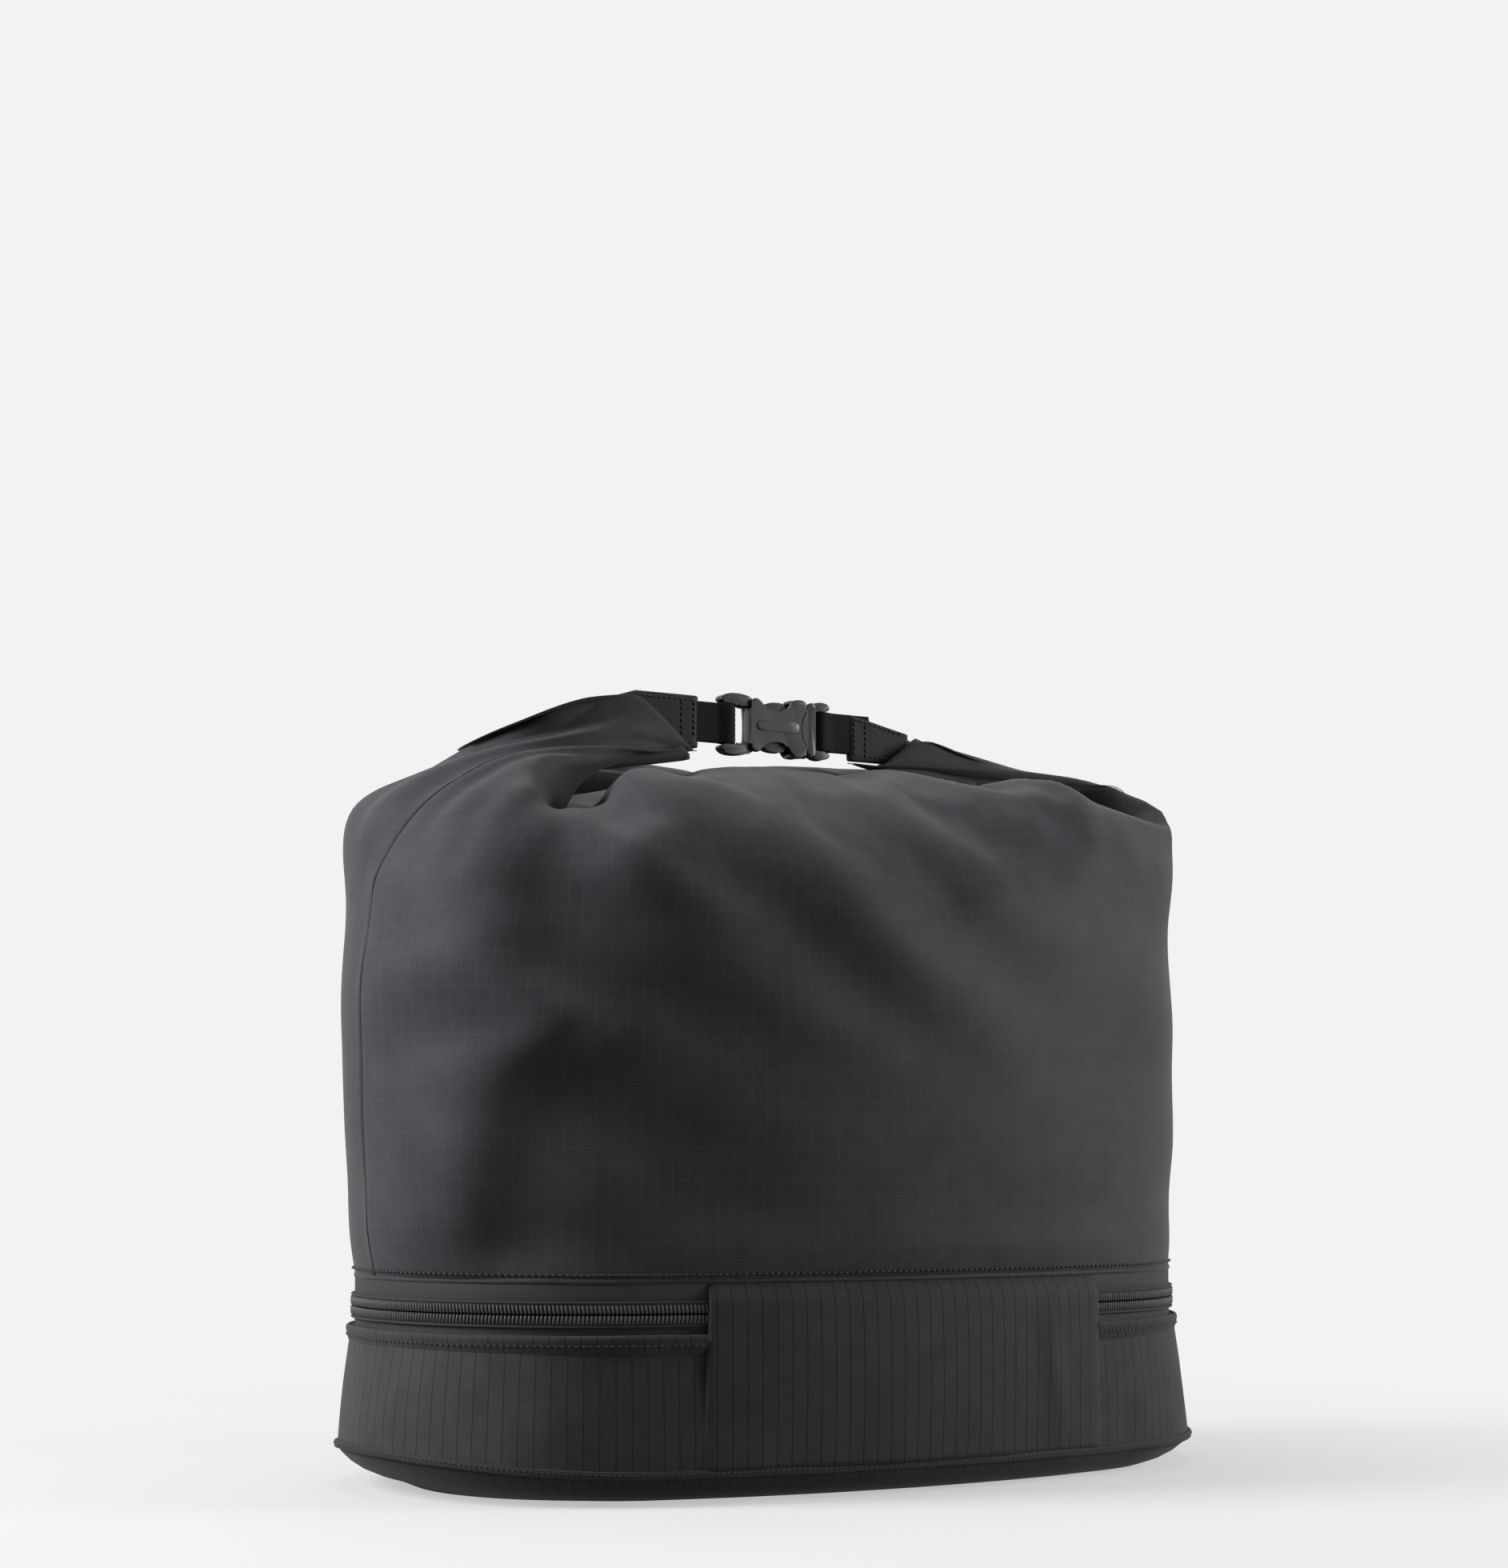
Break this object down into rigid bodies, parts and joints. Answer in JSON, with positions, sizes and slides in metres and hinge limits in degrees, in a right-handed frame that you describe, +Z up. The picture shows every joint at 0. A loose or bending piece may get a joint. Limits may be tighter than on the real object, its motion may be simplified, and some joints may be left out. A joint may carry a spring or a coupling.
{
  "type": "rope storage bag",
  "caption": "Soft roll-top rope sack of ripstop fabric on a zipped base compartment, closed by a side-release buckle whose strap forms the carry handle.",
  "frame": {"origin": "on the floor under the middle of the bag, in the flat of the bottom panel", "axes": "+X along the wide face to the right of the front, +Y to the back, +Z up"},
  "size_m": [0.4436, 0.2728, 0.3841],
  "materials": {
    "sack_fabric": "thin ripstop nylon, slight sheen",
    "base_fabric": "heavier twill polyester ripstop, matt",
    "binding": "folded binding tape",
    "webbing": "woven nylon webbing",
    "zip_tape": "woven zip tape",
    "zip_chain": "reverse nylon coil",
    "buckle": "moulded acetal",
    "zip_metal": "black lacquered die-cast"
  },
  "bodies": {
    "base": {"bottom_panel": "base_fabric", "base_band": "base_fabric", "hinge_panel": "base_fabric", "base_welt": "base_fabric", "seam_binding": "binding", "zip_lower_tape": "zip_tape", "zip_lower_chain": "zip_chain"},
    "upper": {"sack_front_panel": "sack_fabric", "sack_back_panel": "sack_fabric", "sack_floor": "sack_fabric", "sack_hem": "sack_fabric", "zip_upper_tape": "zip_tape", "zip_upper_chain": "zip_chain", "mouth_roll": "sack_fabric", "hem_tab_left": "sack_fabric", "webbing_left": "webbing", "buckle_socket": "buckle"},
    "strap_end": {"hem_tab_right": "sack_fabric", "webbing_right": "webbing", "buckle_plug": "buckle"},
    "upper_prong": {"prong_upper": "buckle"},
    "lower_prong": {"prong_lower": "buckle"},
    "left_slider": {"zip_slider_left": "zip_metal"},
    "right_slider": {"zip_slider_right": "zip_metal"},
    "left_pull": {"zip_pull_left": "zip_metal"},
    "right_pull": {"zip_pull_right": "zip_metal"}
  },
  "joints": [
    {"name": "base_open", "type": "hinge", "parent": "base", "child": "upper", "pos_m": [0, -0.1348, 0.0925], "axis": [1, 0, 0], "range_deg": [0, 90]},
    {"name": "buckle_release", "type": "slide", "parent": "upper", "child": "strap_end", "axis": [1, 0, 0], "range_m": [0, 0.026]},
    {"name": "prong_press", "type": "hinge", "parent": "strap_end", "child": "upper_prong", "pos_m": [0.012, -0.005, 0.3766], "axis": [0, -1, 0], "range_deg": [0, 6], "stiffness_Nm_per_rad": 1},
    {"name": "prong_press_lower", "type": "hinge", "parent": "strap_end", "child": "lower_prong", "pos_m": [0.012, -0.005, 0.3609], "axis": [0, 1, 0], "range_deg": [0, 6], "stiffness_Nm_per_rad": 1},
    {"name": "slider_left_run", "type": "hinge", "parent": "base", "child": "left_slider", "pos_m": [0, -0.3759, 0.084], "axis": [0, 0, 1], "range_deg": [0, 12]},
    {"name": "slider_right_run", "type": "hinge", "parent": "base", "child": "right_slider", "pos_m": [0, -0.3759, 0.084], "axis": [0, 0, -1], "range_deg": [0, 12]},
    {"name": "pull_left_flip", "type": "hinge", "parent": "left_slider", "child": "left_pull", "pos_m": [-0.01006, 0.1343, 0.084], "axis": [0, 0, -1], "range_deg": [0, 100]},
    {"name": "pull_right_flip", "type": "hinge", "parent": "right_slider", "child": "right_pull", "pos_m": [0.01006, 0.1343, 0.084], "axis": [0, 0, 1], "range_deg": [0, 100]}
  ],
  "couplings": [
    {"joint": "prong_press_lower", "follows": "prong_press", "ratio": 1}
  ]
}
